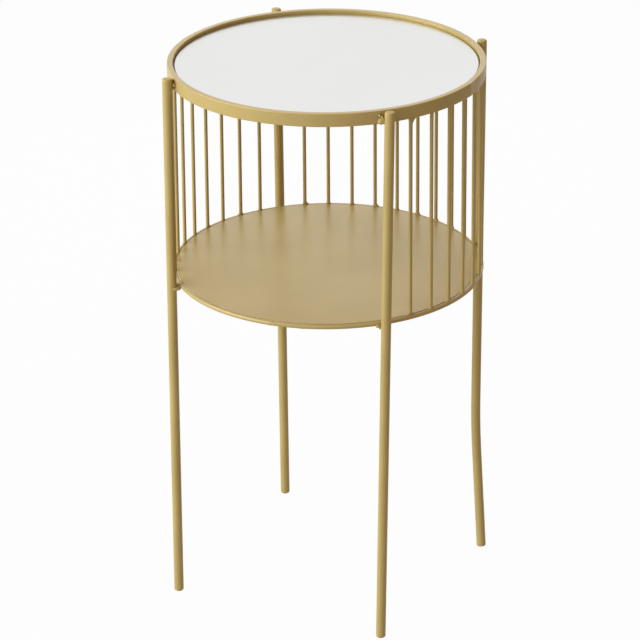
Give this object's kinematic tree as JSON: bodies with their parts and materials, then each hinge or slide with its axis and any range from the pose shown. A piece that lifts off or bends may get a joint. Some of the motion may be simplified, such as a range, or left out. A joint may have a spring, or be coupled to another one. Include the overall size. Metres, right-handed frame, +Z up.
{
  "type": "tiered side table",
  "caption": "Round tiered metal side table: mirror top in a flat hoop, lower shelf fenced by thin upright wires and left open at the front, on slender rod legs.",
  "frame": {"origin": "on the floor, under the middle of the table", "axes": "+Z up; the open side of the wire gallery faces -Y; +X to the right seen from the front"},
  "size_m": [0.322, 0.322, 0.5765],
  "materials": {
    "gold_paint": "satin gold powder coat",
    "mirror": "silvered glass with a ground edge",
    "board": "plain fibreboard"
  },
  "bodies": {
    "root": {"backing_board": "board", "hoop_pin_back_left": "gold_paint", "hoop_pin_back_right": "gold_paint", "hoop_pin_front_left": "gold_paint", "hoop_pin_front_right": "gold_paint", "leg_back_left": "gold_paint", "leg_back_right": "gold_paint", "leg_front_left": "gold_paint", "leg_front_right": "gold_paint", "mirror_top": "mirror", "shelf_pin_back_left": "gold_paint", "shelf_pin_back_right": "gold_paint", "shelf_pin_front_left": "gold_paint", "shelf_pin_front_right": "gold_paint", "shelf_rim": "gold_paint", "shelf_sheet": "gold_paint", "support_tab_back_left": "gold_paint", "support_tab_back_right": "gold_paint", "support_tab_front_left": "gold_paint", "support_tab_front_right": "gold_paint", "top_hoop": "gold_paint", "wire_back_1": "gold_paint", "wire_back_2": "gold_paint", "wire_back_3": "gold_paint", "wire_back_4": "gold_paint", "wire_back_5": "gold_paint", "wire_back_6": "gold_paint", "wire_back_7": "gold_paint", "wire_back_8": "gold_paint", "wire_back_9": "gold_paint", "wire_left_1": "gold_paint", "wire_left_2": "gold_paint", "wire_left_3": "gold_paint", "wire_left_4": "gold_paint", "wire_left_5": "gold_paint", "wire_left_6": "gold_paint", "wire_left_7": "gold_paint", "wire_left_8": "gold_paint", "wire_left_9": "gold_paint", "wire_right_1": "gold_paint", "wire_right_2": "gold_paint", "wire_right_3": "gold_paint", "wire_right_4": "gold_paint", "wire_right_5": "gold_paint", "wire_right_6": "gold_paint", "wire_right_7": "gold_paint", "wire_right_8": "gold_paint", "wire_right_9": "gold_paint"}
  },
  "joints": []
}
